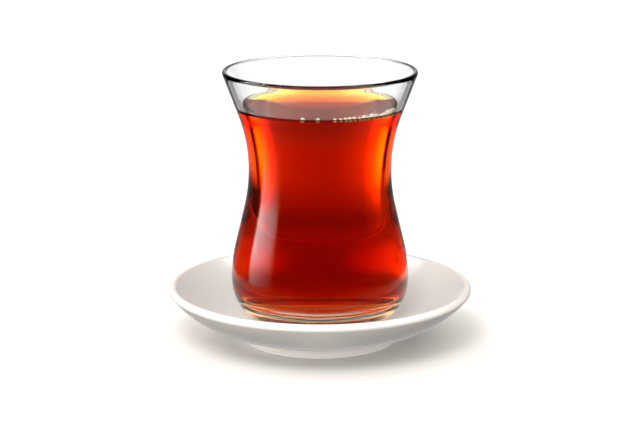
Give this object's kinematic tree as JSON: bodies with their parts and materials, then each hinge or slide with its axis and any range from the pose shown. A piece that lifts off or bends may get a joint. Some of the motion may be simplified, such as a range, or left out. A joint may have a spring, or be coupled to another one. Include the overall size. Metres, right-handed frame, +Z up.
{
  "type": "glass of tea on a saucer",
  "caption": "Waisted clear tea glass with a flared rim and a thick base, filled with amber-red tea and standing in a round white porcelain saucer.",
  "frame": {"origin": "centre of the saucer's foot ring, on the surface that it stands on", "axes": "+Z up along the common axis of saucer, glass and tea; every piece is round about it, so X and Y are free"},
  "size_m": [0.101, 0.101, 0.0912],
  "materials": {
    "porcelain": "smooth white glaze",
    "clear_glass": "clear and polished",
    "tea": "clear dark amber-red liquid"
  },
  "bodies": {
    "root": {"saucer": "porcelain", "glass": "clear_glass", "tea": "tea"}
  },
  "joints": []
}
